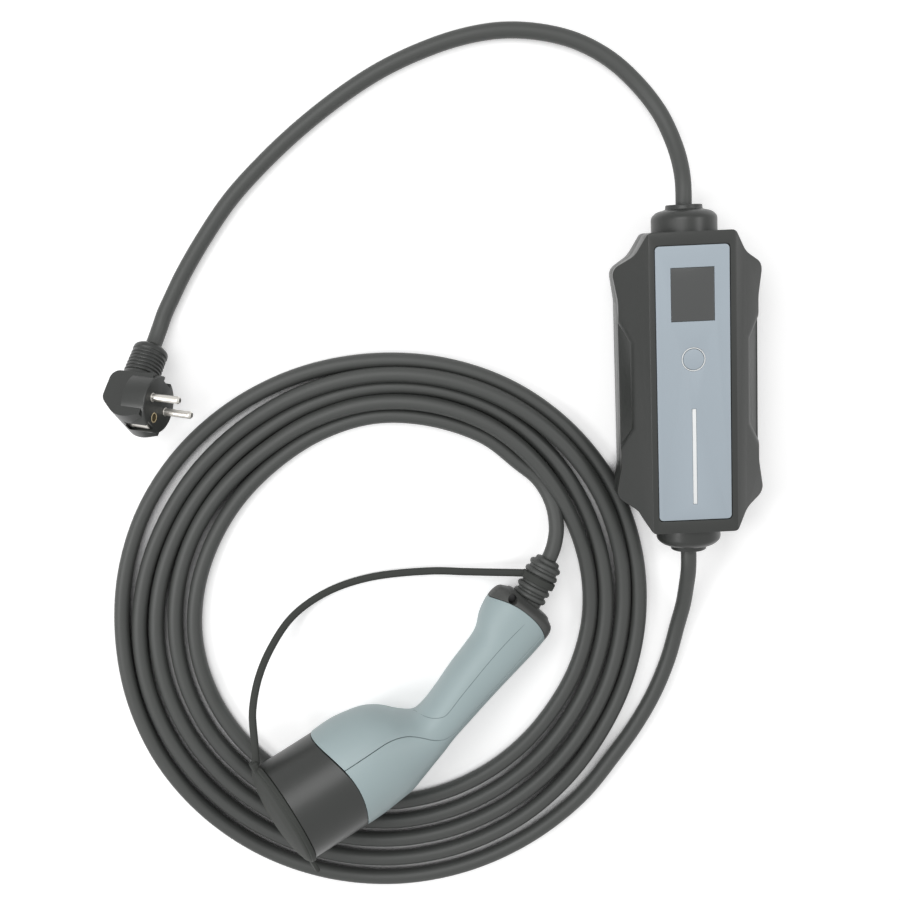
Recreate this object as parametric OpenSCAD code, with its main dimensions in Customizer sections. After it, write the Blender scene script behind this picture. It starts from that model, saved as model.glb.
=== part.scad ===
// Portable charger for electric cars: a control box between a mains plug lead and a coiled
// charging cable that ends in a hand-held vehicle connector with a tethered dust cap.
// Origin at the centre of the control box's back face, +Y towards the mains lead, +Z up.

/* [Control box] */
// Width across the grip lobes
box_w = 94; // [90:1:110]
// Length without the cable glands
box_l = 187; // [170:1:210]
// Height of the back shell, up to the parting line
back_h = 30; // [27:1:34]
// Height over the front face
box_h = 52; // [50:1:60]
// Width of the raised flat front
crown_w = 53; // [50:1:60]
// Height at which the sloped side facets meet the side walls
side_z = 34; // [32:1:38]
// Distance from the middle to the widest point of a grip lobe
lobe_y = 72; // [64:1:78]
// How far the waist lies inside the lobes
waist = 3.4; // [2:0.1:5]
// How far the back tapers in at its edge
back_taper = 10; // [6:1:12]
// Height over which the back tapers in
taper_h = 16; // [12:1:20]
// Shell wall
wall = 2.5; // [2:0.1:3.5]

/* [Front panel] */
// Width of the coloured panel
panel_w = 46; // [42:1:48]
// Length of the coloured panel
panel_l = 171; // [160:1:174]
// Thickness of the panel
panel_t = 2; // [1.5:0.1:3]
// Width of the display window
window_w = 26.4; // [20:0.2:28]
// Height of the display window
window_l = 32.5; // [24:0.5:40]
// Middle of the display window, from the box's middle
window_y = 55.5; // [50:0.5:60]
// Radius of the push button
button_r = 6.4; // [5:0.1:8]
// Middle of the push button
button_y = 15.8; // [10:0.2:22]
// Travel of the push button
button_travel = 0.8; // [0.4:0.1:1]
// Radial width of the lit ring round the button
ring_w = 0.6; // [0.4:0.1:1.2]
// Width of the light bar
bar_w = 2.4; // [1.6:0.1:4]
// Length of the light bar
bar_l = 60; // [40:1:64]
// Middle of the light bar
bar_y = -45; // [-50:1:-40]

/* [Cable] */
// Outer diameter of the cable
cable_d = 10.2; // [9:0.1:12]
// Turns that lie side by side in the coil
coil_turns = 5; // [4:1:5]
// Middle radius of the coil's outermost turn
coil_r = 179.7; // [178:0.1:184]
// Radius of a cable gland
gland_r = 20.5; // [18:0.5:22]
// Length of a cable gland outside the box
gland_l = 16.5; // [14:0.5:22]
// Height of the cable's axis at the box
gland_z = 26; // [24:0.5:28]

/* [Mains plug] */
// Radius of the round plug face
plug_r = 18.2; // [17:0.1:18.5]
// Depth of the round plug face
plug_depth = 16; // [14:0.5:18]
// Width of the plug's back block
plug_w = 29; // [26:1:34]
// Radius of a contact pin
pin_r = 2.4; // [2:0.1:2.6]
// Length of a contact pin
pin_l = 19; // [17:0.5:20]
// Distance between the two pins
pin_pitch = 19; // [17:0.5:20]

/* [Vehicle connector] */
// Radius of the round nose
nose_r = 35.2; // [33:0.1:37]
// Wall of the connector's shells
gun_wall = 2.5; // [2:0.1:3.5]
// Depth of the nose in front of the shells, at its middle
nose_l = 41; // [36:1:44]
// Slant of the nose's mouth in the middle plane
mouth_slant = 3; // [0:0.5:10]
// Tilt of the nose's mouth towards the upper side
mouth_tilt = 17; // [0:1:20]
// Sag of the curved edge between the nose and the shells
edge_sag = 12; // [6:0.5:14]
// Sag of the curved edge between the tail collar and the shells
collar_sag = 8; // [5:0.5:9]
// Radius of the dust cap
cap_r = 36.6; // [36:0.1:39]
// Height of the dust cap's dome
cap_dome = 7; // [4:0.5:9]
// Length of the cable boot
boot_l = 37; // [30:1:42]
// Radius of the cable boot at the collar
boot_r = 11.6; // [10:0.1:12.5]
// Width of the tether strap
strap_d = 5.2; // [4:0.2:6]

/* [Hidden] */
$fn = 64;

black = [0.30, 0.31, 0.30];
grey_blue = [0.63, 0.69, 0.72];
steel = [0.72, 0.70, 0.66];
board_green = [0.16, 0.36, 0.24];

fit = 0.15;      // clearance of a piece that is let into another
run = 0.3;       // clearance of a piece that moves
cut = 1;         // how far a cutter runs past the face that it opens
skin_t = 0.01;   // thinnest layer of a hull
far = 400;       // longer than anything that is cut

// Box outline: run from a lobe to the waist, share of an inset at the corners, hollow between an end
// and a lobe, inset at which that hollow is gone, corner radii
lobe_run = 20;
inset_share = 0.4;
hollow_at = [7.5, 13.5];
hollow_fade = 20;
outline_radii = [4, 14, 7, 30, 30, 7, 14, 4];

// Scoop in each sloped facet: how far out it starts, lean of its wall, run of its ends, floor, half lengths
scoop_in = 10;
scoop_lean = 3.5;
scoop_out = 9;
scoop_floor = back_h + 3.5;
scoop_top = 26.5;
scoop_foot = 42;

// Box interior
cavity_w = crown_w - 2 * wall;
end_wall = back_taper + wall;
cavity_l = box_l - 2 * end_wall;
rim_w = 7;
seal_in = 4;
seal_w = 2;
seal_h = 1.5;
panel_corner = 2.5;
ledge = 2;
floor_top = box_h - panel_t;
floor_bottom = floor_top - wall;

// Shell screws and board posts
post_x = cavity_w / 2 + 5;
post_y = 58;
post_r = 4.5;
screw_r = 1.6;
screw_head_r = 3.4;
screw_head_h = 2.4;
screw_recess = 1;
screw_grip = 9;
slot_l = 4;
slot_w = 0.8;
slot_h = 1.2;

// Main board and what stands on it
board_t = 1.6;
board_w = cavity_w - 4;
board_l = 130;
board_z = 8;
board_post_x = board_w / 2 - 4;
board_post_y = board_l / 2 - 5;
board_post_r = 2.6;
board_screw_r = 1.1;
board_screw_head_r = 2.1;
board_screw_head_h = 1.6;
board_bite = 4;
board_top = board_z + board_t;
relay_size = [16, 24, 15];
relay_at = [10, -26];
sensor_r = 13;
sensor_bore = 7;
sensor_h = 12;
sensor_y = 30;
module_size = [30, 22, 17];
module_y = 2;
terminal_size = [24, 9, 11];
terminal_y = 52;

// Display board under the front
display_z = floor_bottom - 7;
display_l = 140;
module_edge = 2;
window_sink = 0.1;
switch_w = 10;
switch_share = 0.6;
switch_stem_r = 3;
flange_t = 1.2;
flange_w = 1.4;
button_proud = 0.2;
flange_top = floor_bottom - run;
flange_bottom = flange_top - flange_t;

// Gland neck through the end wall
neck_r = 12;
gland_nut_r = 15;
gland_nut_t = 4;
gland_collar_r = gland_r / 2;
gland_collar_l = 2.2;
gland_straight = 9.5;

// The coil lies against the box's lobe
lay_gap = 0.2;
lobe_gap = 0.7;
lobe_in = [6.6, 2.6];
coil_out = coil_r + cable_d / 2;
coil_in = coil_r - (coil_turns - 0.5) * cable_d;
coil_y = -161;
lobe_at = [box_w / 2, lobe_y] - lobe_in;
coil_middle = [-lobe_at.x - sqrt(pow(coil_out + lobe_gap, 2) - pow(coil_y + lobe_at.y, 2)), coil_y];

// Plug attitude: pins along its own X, cable along its own Y
plug_lift = 25.5;
plug_place = [-333.2, 1.3, plug_lift + plug_w / 2];
plug_turn = [-35, -18, -7];
plug_cable_x = -20;
plug_boot_foot = 10;
plug_boot_r = 11.4;
plug_rib_y = 19;
plug_rib_pitch = 2.5;
plug_rib_depth = 0.9;
plug_rib_share = 0.6;
plug_rib_step = 0.1;
plug_ribs = 6;
boot_top = 40.4;
boot_shoulder = 37;
plug_tip = plug_place + turned([plug_cable_x, boot_top, 0], plug_turn);
// Side view of the plug's back block
plug_profile = [[0, -15], [-12, -18.4], [-19, -17.6], [-40, -2], [-37, 16.5], [-33, 19], [-9, 19],
    [-8, 16], [0, 15]];
plug_round = 30;
pin_root = 8;
pin_root_r = pin_r + 0.8;
pin_tip = 1.2;
pin_tip_in = 0.85;
clip_w = 6;
clip_t = 1.6;
clip_back = 2;
notch_w = 9;
notch_d = 3.6;

// Connector attitude: nose along its own -X, its middle plane is its own XY
gun_sink = 4.8;
gun_place = [-235, -251, cap_r + cable_d - gun_sink];
gun_turn = [0, 8, 28.5];
grip_turn = 18.9;
grip_end = [154.6, 28.2];
grip_half = 19.5;
edge_step = 4;
boot_turn = 31;
boot_start = 7.5;
boot_foot = 6;
boot_plain = 7.6;
boot_taper = 0.6;
rib_depth = 1.8;
rib_share = 0.55;
boot_ribs = 5;
boot_end = 2;
boot_lip = 0.8;
gun_sides = 28;
grip_square = 0.3;
square_from = 20;
square_over = 60;
// Stations of the connector's body: middle x, y, half width, half thickness, turn
stations = [[-6, 0, nose_r, nose_r, 0], [14, 0.8, nose_r + 0.4, nose_r - 0.2, 0],
    [27, 0.7, 34, 33.8, 0], [38, 0, 31.8, 31.4, 0], [48, -1.2, 27.1, 28.2, 1], [57, -3.7, 21.2, 25, 3],
    [66, -4.9, 16.7, 22.2, 6], [76, -2.3, 15.4, 20.2, 11], [90.3, 2.4, 16, 19, 17],
    [106.6, 8.3, 17.3, 18.5, 18], [121.7, 13.2, 18.2, 18.5, 18.4], [134, 17.6, 19.4, 18.8, 18.6],
    [144, 23.4, 22.6, 19.2, 18.8], [grip_end.x, grip_end.y, 24, grip_half, grip_turn],
    [160.5, 30.2, 23.6, 19.2, grip_turn], [164, 31.4, 21.8, 17.6, grip_turn],
    [166.3, 32.2, 17.5, 14.5, grip_turn]];
// Line along which the lower shell meets the main one, in the middle plane
seam = [[-60, 1.5], [36, 3], [46, 2], [54, -1.5], [62, -8.5], [70, -13.5], [77, -15], [86, -12.8],
    [95, -9.9], [112, -4.7], [127.4, -0.5], [140, 2.8], [151, 5.6], [180, 14]];
insert_r = 27;
sleeve_gap = 1.4;
sleeve_r = nose_r - gun_wall - sleeve_gap;
sleeve_wall = 2.5;
sleeve_back = 18;
insert_front = nose_l - 15;
insert_flat = 0.75;
insert_foot = 6;
contact_in = 2;
power_r = 3.2;
signal_r = 2;
contact_wall = 0.7;
// Contact places on the nose: three across, two below, two small ones above
power_places = [[0, 0], [-16, 0], [16, 0], [-8.2, -14.2], [8.2, -14.2]];
signal_places = [[-7.5, 13.5], [7.5, 13.5]];
cap_edge = 3;
cap_rim_gap = 0.8;
cap_rim_r = sleeve_r - sleeve_wall - cap_rim_gap;
cap_rim_l = 4;
cap_rim_wall = 2;
tab_size = [cap_edge, 13, 9];
tab_out = 9;
lug_size = [5, 9, 9];
lug_in = 5;
lug_share = 0.2;
lug_gap = 1.4;
collar_hole = [158.5, 43.5];
collar_screw_r = 3;
collar_screw_z = 6;
collar_screw_l = 3;
// Tether: from the dust cap's lug to a ring on the boot, in the connector's own frame
ring_rib = 2;
boot_pitch = (boot_l - boot_plain - boot_end) / boot_ribs;
strap_ring_at = boot_plain + (ring_rib + 0.5) * boot_pitch;
strap_ring_l = boot_pitch - 2 * run;
strap_ring_wall = 2.2;
strap_ring_r = boot_radius(boot_plain + ring_rib * boot_pitch) - rib_depth + fit;
boot_at = grip_end + boot_start * along(grip_turn);
boot_tip = gun_place + turned(flat(boot_at + boot_l * along(boot_turn)), gun_turn);
mouth_turn = [0, mouth_tilt, -mouth_slant];
strap_from = [-nose_l, 0, 0] + turned([-lug_size.x * lug_share, cap_r + lug_gap, 0], mouth_turn);
strap_to = flat(boot_at + strap_ring_at * along(boot_turn)
    + (strap_ring_r + strap_ring_wall / 2) * along(boot_turn + 90));
strap_route = [strap_from, [-37, 43.5, 0], [-33.4, 50.5, -1.2], [-29.5, 58.5, -3], [-24.5, 67.5, -6],
    [-11.8, 81.7, -13.8], [5, 93.3, -22.5], [27.5, 102.7, -28.6], [54, 104.4, -30.6], [84, 98.4, -27.4],
    [122.5, 81, -20.4], [142, 69.5, -13.5], [157, 61, -6.5], [167, 55.4, -1.8], strap_to];

// Cable routes, middle of the cable, from the gland outwards
lay_z = cable_d / 2 + lay_gap;
exit_y = box_l / 2 + gland_l;
mains_route = [[0, exit_y, gland_z], [0, 118, gland_z], [0, 126, 24], [-1, 138, 18.3], [-4, 151, 12.5],
    [-11, 168, 7.5],
    [-24, 186, lay_z], [-41, 202, lay_z], [-62, 214, lay_z], [-85, 220.5, lay_z], [-109, 222.5, lay_z],
    [-134, 219.5, lay_z], [-159, 212.5, lay_z], [-185, 202, lay_z], [-210, 188, lay_z],
    [-237, 169.5, lay_z], [-261, 150, lay_z], [-285, 127, lay_z], [-304, 103, lay_z],
    [-319, 81, lay_z], [-327.5, 66.3, lay_z], [-333.2, 56.0, lay_z + 0.1], [-336.1, 48.9, lay_z + 0.8],
    [-338.7, 42.0, lay_z + 3], plug_tip];
output_route = [[0, -exit_y, gland_z], [0, -118, gland_z], [0, -126, 24], [-0.5, -138, 18.3],
    [-1.5, -151, 12.5],
    [-5, -168, 7.5], [-11, -191, lay_z], [-20.5, -214, lay_z], [-33, -236, lay_z], [-48, -257, lay_z]];
gun_route = [[-107, -52.5, lay_z], [-96.7, -61.3, lay_z + 0.4], [-91.7, -68, lay_z + 1.1],
    [-87.9, -75.4, lay_z + 2.3], [-85.4, -83.4, lay_z + 4], [-84.4, -95.1, lay_z + 6.3],
    [-85.1, -101.3, lay_z + 7.4], [-87.1, -108.9, lay_z + 8.6], boot_tip];

function unit(v) = v / norm(v);
function along(a) = [cos(a), sin(a)];
function flat(p) = [p.x, p.y, 0];
function turn_x(p, a) = [p.x, p.y * cos(a) - p.z * sin(a), p.y * sin(a) + p.z * cos(a)];
function turn_y(p, a) = [p.x * cos(a) + p.z * sin(a), p.y, p.z * cos(a) - p.x * sin(a)];
function turn_z(p, a) = [p.x * cos(a) - p.y * sin(a), p.x * sin(a) + p.y * cos(a), p.z];
function turned(p, a) = turn_z(turn_y(turn_x(p, a.x), a.y), a.z);
function boot_radius(x) = boot_r - boot_taper * x / boot_l;

// Points of an arc that rounds the corner p between a and b
function corner(a, p, b, r, n) =
    let (u = unit(a - p), w = unit(b - p), half = acos(u * w) / 2,
         c = p + unit(u + w) * r / sin(half),
         s = p + u * r / tan(half) - c, e = p + w * r / tan(half) - c,
         a0 = atan2(s.y, s.x), sweep = ((atan2(e.y, e.x) - a0 + 540) % 360) - 180)
    [for (i = [0:n]) c + r * [cos(a0 + sweep * i / n), sin(a0 + sweep * i / n)]];

function rounded(pts, radii, n = 5) =
    let (m = len(pts))
    [for (i = [0:m - 1]) each corner(pts[(i + m - 1) % m], pts[i], pts[(i + 1) % m], radii[i], n)];

// Outline of the box in plan, inset by d: ends, lobes and waist
function box_outline(d) =
    let (w = box_w / 2 - d, l = box_l / 2 - d, c = crown_w / 2 - d * inset_share,
         y = lobe_y - d * inset_share, inner = y - lobe_run,
         bay = [c, l] + [hollow_at.x, -hollow_at.y] * (1 - d / hollow_fade),
         right = [[c, -l], [bay.x, -bay.y], [w, -y], [w - waist, -inner], [w - waist, inner], [w, y], bay,
                  [c, l]])
    rounded(concat(right, [for (i = [len(right) - 1:-1:0]) [-right[i].x, right[i].y]]),
            concat(outline_radii, outline_radii));

function box_rect(w, l, r) = rounded([[-w, -l] / 2, [w, -l] / 2, [w, l] / 2, [-w, l] / 2], [r, r, r, r]);

// One closed ring of points for a station of the connector's body, round at the nose
function loft_ring(s, inset) =
    let (side = flat(along(s[4] + 90)),
         squareness = 2 + grip_square * min(1, max(0, (s.x - square_from) / square_over)))
    [for (k = [0:gun_sides - 1])
        let (a = 360 * k / gun_sides, c = cos(a), z = sin(a))
        [s.x, s.y, 0] + side * (s[2] - inset) * sign(c) * pow(abs(c), 2 / squareness)
        + [0, 0, (s[3] - inset) * sign(z) * pow(abs(z), 2 / squareness)]];

function tangent(pts, i) = unit(pts[min(i + 1, len(pts) - 1)] - pts[max(i - 1, 0)]);

function tube_ring(pts, i, r, sides) =
    let (t = tangent(pts, i), s = unit(cross([0, 0, 1], t)), u = cross(t, s))
    [for (k = [0:sides - 1]) pts[i] + r * (cos(360 * k / sides) * s + sin(360 * k / sides) * u)];

// Solid through rings of points that all have the same count
module skin(rings) {
    n = len(rings[0]);
    m = len(rings);
    polyhedron(
        points = [for (ring = rings) each ring],
        faces = concat(
            [[for (k = [0:n - 1]) k]],
            [for (i = [0:m - 2], k = [0:n - 1])
                [i * n + k, (i + 1) * n + k, (i + 1) * n + (k + 1) % n, i * n + (k + 1) % n]],
            [[for (k = [n - 1:-1:0]) (m - 1) * n + k]]));
}

module tube(pts, d, sides = 10) {
    skin([for (i = [0:len(pts) - 1]) tube_ring(pts, i, d / 2, sides)]);
}

module both_sides(v) {
    children();
    mirror(v) children();
}

module at_posts(x, y) {
    for (sx = [-1, 1], sy = [-1, 1]) translate([sx * x, sy * y, 0]) children();
}

// Sloped facet from the crown's edge down to the side wall, and the scoop in it, both let in by d
module side_cuts(d) {
    slope = atan2(box_h - side_z, (box_w - crown_w) / 2);
    start = crown_w / 2 + scoop_in - d;
    top = box_h - scoop_in * tan(slope);
    both_sides([1, 0, 0]) {
        translate([crown_w / 2, 0, box_h]) rotate([0, slope, 0]) translate([-far / 2, -far / 2, -d])
            cube([far, far, far]);
        intersection() {
            linear_extrude(far) polygon([[start, -scoop_top - d], [start + scoop_out, -scoop_foot - d],
                [far, -scoop_foot - d], [far, scoop_foot + d], [start + scoop_out, scoop_foot + d],
                [start, scoop_top + d]]);
            rotate([90, 0, 0]) linear_extrude(far, center = true) polygon([[start, far], [start, top],
                [start + scoop_lean, scoop_floor - d], [far, scoop_floor - d], [far, far]]);
        }
    }
}

module gland_holes() {
    for (e = [0, 180]) rotate([0, 0, e])
        translate([0, cavity_l / 2 - cut, gland_z]) rotate([-90, 0, 0])
            cylinder(r = neck_r + fit / 2, h = end_wall + 2 * cut);
}

// Hollow inside the rim on which the two shells meet
module rim_plan() {
    intersection() {
        polygon(box_outline(rim_w));
        square([box_w, cavity_l], center = true);
    }
}

module front_hollow() {
    difference() {
        translate([0, 0, back_h - cut]) linear_extrude(floor_bottom - back_h + cut) rim_plan();
        side_cuts(wall);
        at_posts(post_x, post_y) cylinder(r = post_r, h = far);
        at_posts(board_post_x, board_post_y) translate([0, 0, display_z])
            cylinder(r = board_post_r, h = far, $fn = 32);
    }
}

module front_shell() {
    color(black) difference() {
        translate([0, 0, back_h]) linear_extrude(box_h - back_h) polygon(box_outline(0));
        side_cuts(0);
        front_hollow();
        translate([0, 0, floor_top]) linear_extrude(far)
            polygon(box_rect(panel_w + 2 * fit, panel_l + 2 * fit, panel_corner + fit));
        translate([0, window_y, floor_bottom - cut])
            linear_extrude(far) square([window_w - 2 * ledge, window_l - 2 * ledge], center = true);
        translate([0, button_y, floor_bottom - cut]) cylinder(r = button_r + run, h = far);
        translate([0, bar_y, floor_bottom - cut])
            linear_extrude(far) square([bar_w / 2, bar_l - 2 * ledge], center = true);
        gland_holes();
        at_posts(post_x, post_y) translate([0, 0, back_h - cut])
            cylinder(r = screw_r + fit, h = screw_grip + cut + fit, $fn = 32);
        at_posts(board_post_x, board_post_y) translate([0, 0, display_z - cut])
            cylinder(r = board_screw_r + fit, h = board_bite + cut + fit, $fn = 32);
    }
}

module back_shell() {
    color(black) difference() {
        union() {
            difference() {
                intersection() {
                    linear_extrude(back_h) polygon(box_outline(0));
                    hull() {
                        linear_extrude(skin_t) polygon(box_outline(back_taper));
                        translate([0, 0, taper_h]) linear_extrude(back_h) polygon(box_outline(0));
                    }
                }
                translate([0, 0, wall]) linear_extrude(far) polygon(box_outline(end_wall));
                translate([0, 0, taper_h + wall]) linear_extrude(far) rim_plan();
            }
            at_posts(post_x, post_y) cylinder(r = post_r, h = back_h);
            at_posts(board_post_x, board_post_y) cylinder(r = board_post_r, h = board_z, $fn = 32);
        }
        at_posts(post_x, post_y) translate([0, 0, -cut]) {
            cylinder(r = screw_r + fit, h = far, $fn = 32);
            cylinder(r = screw_head_r + fit, h = screw_recess + screw_head_h + cut, $fn = 32);
        }
        at_posts(board_post_x, board_post_y) translate([0, 0, wall])
            cylinder(r = board_screw_r + fit, h = far, $fn = 32);
        translate([0, 0, back_h - seal_h]) seal_ring(far, 0);
        gland_holes();
    }
}

// Gasket or its groove along the parting line, open at the glands
module seal_ring(h, gap) {
    linear_extrude(h) difference() {
        polygon(box_outline(seal_in + gap));
        polygon(box_outline(seal_in + seal_w - gap));
        square([2 * gland_nut_r, far], center = true);
    }
}

module shell_seal() {
    color([0.2, 0.2, 0.2]) translate([0, 0, back_h - seal_h]) seal_ring(seal_h, fit);
}

module front_panel() {
    color(grey_blue) translate([0, 0, floor_top]) linear_extrude(panel_t) difference() {
        polygon(box_rect(panel_w, panel_l, panel_corner));
        translate([0, window_y]) square([window_w + 2 * fit, window_l + 2 * fit], center = true);
        translate([0, button_y]) circle(r = button_r + run + ring_w + fit);
        translate([0, bar_y]) square([bar_w + 2 * fit, bar_l + 2 * fit], center = true);
    }
}

module display_window() {
    color([0.33, 0.35, 0.36]) translate([0, window_y, floor_top])
        linear_extrude(panel_t - window_sink) square([window_w, window_l], center = true);
}

module button_cap() {
    color(grey_blue) translate([0, button_y, 0]) union() {
        translate([0, 0, flange_bottom]) cylinder(r = button_r, h = box_h + button_proud - flange_bottom);
        translate([0, 0, flange_bottom]) cylinder(r = button_r + flange_w, h = flange_t);
    }
}

module button_ring() {
    color("white") translate([0, button_y, floor_top]) difference() {
        cylinder(r = button_r + run + ring_w, h = panel_t);
        translate([0, 0, -cut]) cylinder(r = button_r + run, h = panel_t + 2 * cut);
    }
}

module light_bar() {
    color("white") translate([0, bar_y, floor_top])
        linear_extrude(panel_t) square([bar_w, bar_l], center = true);
}

module display_board() {
    color(board_green) translate([0, 0, display_z - board_t]) difference() {
        linear_extrude(board_t) square([board_w, display_l], center = true);
        at_posts(board_post_x, board_post_y) translate([0, 0, -cut])
            cylinder(r = board_screw_r + fit, h = far, $fn = 32);
    }
}

module display_module() {
    color([0.2, 0.2, 0.22]) translate([0, window_y, display_z])
        linear_extrude(floor_bottom - display_z - fit)
            square([window_w + module_edge, window_l + module_edge], center = true);
}

module button_switch() {
    body_h = flange_bottom - display_z - button_travel - run;
    color([0.2, 0.2, 0.22]) translate([0, button_y, display_z]) union() {
        linear_extrude(body_h * switch_share) square([switch_w, switch_w], center = true);
        cylinder(r = switch_stem_r, h = body_h, $fn = 32);
    }
}

module main_board() {
    color(board_green) translate([0, 0, board_z]) difference() {
        linear_extrude(board_t) square([board_w, board_l], center = true);
        at_posts(board_post_x, board_post_y) translate([0, 0, -cut])
            cylinder(r = board_screw_r + fit, h = far, $fn = 32);
    }
}

module block(size) {
    linear_extrude(size.z) square([size.x, size.y], center = true);
}

module relays() {
    color([0.2, 0.2, 0.22]) both_sides([1, 0, 0])
        translate([relay_at.x, relay_at.y, board_top]) block(relay_size);
}

module current_sensor() {
    color([0.25, 0.25, 0.27]) translate([0, sensor_y, board_top]) difference() {
        cylinder(r = sensor_r, h = sensor_h);
        translate([0, 0, -cut]) cylinder(r = sensor_bore, h = far);
    }
}

module power_module() {
    color([0.3, 0.3, 0.28]) translate([0, module_y, board_top]) block(module_size);
}

module terminal_blocks() {
    color([0.35, 0.45, 0.4]) both_sides([0, 1, 0]) translate([0, terminal_y, board_top])
        block(terminal_size);
}

module board_screw() {
    cylinder(r = board_screw_head_r, h = board_screw_head_h, $fn = 32);
    translate([0, 0, -board_t - board_bite])
        cylinder(r = board_screw_r, h = board_t + board_bite, $fn = 32);
}

// Screws down into the back shell's posts and up into the front shell's
module board_screws() {
    color(steel) at_posts(board_post_x, board_post_y) {
        translate([0, 0, board_top]) board_screw();
        translate([0, 0, display_z - board_t]) mirror([0, 0, 1]) board_screw();
    }
}

module shell_screws() {
    under_head = screw_recess + screw_head_h;
    color(steel) at_posts(post_x, post_y) {
        difference() {
            translate([0, 0, screw_recess]) cylinder(r = screw_head_r, h = screw_head_h, $fn = 32);
            for (a = [0, 90]) rotate([0, 0, a]) translate([-slot_l / 2, -slot_w / 2, 0])
                cube([slot_l, slot_w, screw_recess + slot_h]);
        }
        translate([0, 0, under_head]) cylinder(r = screw_r, h = back_h + screw_grip - under_head, $fn = 32);
    }
}

// Moulded gland: nut inside the wall, neck, conical body and cable collar
module gland() {
    color(black) translate([0, box_l / 2, gland_z]) rotate([-90, 0, 0]) union() {
        rotate_extrude() polygon([[0, 0], [gland_r, 0], [gland_r, gland_straight],
            [gland_collar_r, gland_l - gland_collar_l], [gland_collar_r, gland_l], [0, gland_l]]);
        translate([0, 0, -end_wall]) cylinder(r = neck_r, h = end_wall + cut);
        translate([0, 0, -end_wall - gland_nut_t]) cylinder(r = gland_nut_r, h = gland_nut_t - fit);
        translate([0, 0, -end_wall - fit - cut]) cylinder(r = neck_r, h = 2 * cut);
    }
}

module gland_in() {
    gland();
}

module gland_out() {
    mirror([0, 1, 0]) gland();
}

module mains_lead() {
    color(black) tube(mains_route, cable_d);
}

module output_lead() {
    color(black) tube(output_route, cable_d);
}

module gun_lead() {
    color(black) tube(gun_route, cable_d);
}

module cable_coil() {
    r = cable_d / 2;
    color(black) translate([coil_middle.x, coil_middle.y, lay_z]) rotate_extrude($fn = 128) {
        translate([coil_in + r, -r]) square([coil_out - coil_in - 2 * r, 2 * r]);
        translate([coil_in + r, 0]) circle(r = r, $fn = 32);
        translate([coil_out - r, 0]) circle(r = r, $fn = 32);
    }
}

module plug_frame() {
    translate(plug_place) rotate(plug_turn) children();
}

module earth_notches(w, d) {
    both_sides([0, 1, 0]) translate([-plug_depth, plug_r - d, -w / 2]) cube([plug_depth + cut, d + cut, w]);
}

module pin_places() {
    for (s = [-1, 1]) translate([-pin_root, 0, s * pin_pitch / 2]) rotate([0, 90, 0]) children();
}

module plug_body() {
    ribs = [for (i = [0:plug_ribs - 1])
        let (y = plug_rib_y + i * plug_rib_pitch, r = plug_boot_r - plug_rib_step * i)
        each [[r, y], [r, y + plug_rib_pitch * plug_rib_share],
              [r - plug_rib_depth, y + plug_rib_pitch * plug_rib_share],
              [r - plug_rib_depth, y + plug_rib_pitch]]];
    boot = concat([[0, plug_boot_foot], [plug_boot_r - plug_rib_depth, plug_boot_foot],
                   [plug_boot_r - plug_rib_depth, plug_rib_y]], ribs,
                  [[plug_boot_r - plug_rib_depth, boot_shoulder], [cable_d / 2 + boot_end, boot_top],
                   [0, boot_top]]);
    color(black) plug_frame() difference() {
        union() {
            translate([-plug_depth, 0, 0]) rotate([0, 90, 0]) cylinder(r = plug_r, h = plug_depth);
            intersection() {
                translate([0, 0, -plug_w / 2]) linear_extrude(plug_w) polygon(plug_profile);
                translate([-plug_r, 0, 0]) rotate([90, 0, 0])
                    cylinder(r = plug_round, h = far, center = true);
            }
            translate([plug_cable_x, 0, 0]) rotate([-90, 0, 0]) rotate_extrude() polygon(boot);
        }
        earth_notches(notch_w, notch_d);
        pin_places() cylinder(r = pin_root_r, h = far, $fn = 32);
    }
}

module plug_pins() {
    straight = pin_l - pin_tip;
    color(steel) plug_frame() pin_places() {
        cylinder(r = pin_root_r, h = pin_root, $fn = 32);
        translate([0, 0, pin_root]) cylinder(r = pin_r, h = straight, $fn = 32);
        translate([0, 0, pin_root + straight])
            cylinder(r1 = pin_r, r2 = pin_r - pin_tip_in, h = pin_tip, $fn = 32);
    }
}

module plug_earth() {
    color(steel) plug_frame() both_sides([0, 1, 0])
        translate([-plug_depth, plug_r - notch_d, -clip_w / 2])
            cube([plug_depth - clip_back, clip_t, clip_w]);
}

module gun_frame() {
    translate(gun_place) rotate(gun_turn) children();
}

// Outer form of the connector's shells and collar, inset by d
module gun_form(d) {
    skin([for (s = stations) loft_ring(s, d)]);
}

// Round-fronted region that the shells fill behind the nose
module behind_nose() {
    r = (pow(nose_r, 2) + pow(edge_sag, 2)) / (2 * edge_sag);
    translate([r, 0, 0]) rotate([90, 0, 0]) cylinder(r = r, h = far, center = true, $fn = 128);
    translate([r, -far / 2, -far / 2]) cube([far, far, far]);
}

// Round-fronted region that the collar fills at the tail
module behind_grip() {
    r = (pow(grip_half, 2) + pow(collar_sag, 2)) / (2 * collar_sag);
    translate(flat(grip_end)) rotate([0, 0, grip_turn]) translate([r, 0, 0]) rotate([90, 0, 0])
        translate([0, 0, -far / 2]) linear_extrude(far) polygon([for (a = [0:edge_step:359]) r * along(a)]);
}

module below_seam() {
    translate([0, 0, -far / 2]) linear_extrude(far)
        polygon(concat(seam, [[seam[len(seam) - 1].x, -far], [seam[0].x, -far]]));
}

module gun_hollow() {
    difference() {
        intersection() {
            gun_form(0);
            behind_nose();
        }
        gun_form(gun_wall);
    }
}

module gun_shell() {
    color(grey_blue) gun_frame() difference() {
        gun_hollow();
        behind_grip();
        below_seam();
    }
}

module gun_underside() {
    color(grey_blue) gun_frame() difference() {
        intersection() {
            gun_hollow();
            below_seam();
        }
        behind_grip();
    }
}

module along_nose() {
    rotate([0, 90, 0]) children();
}

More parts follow.
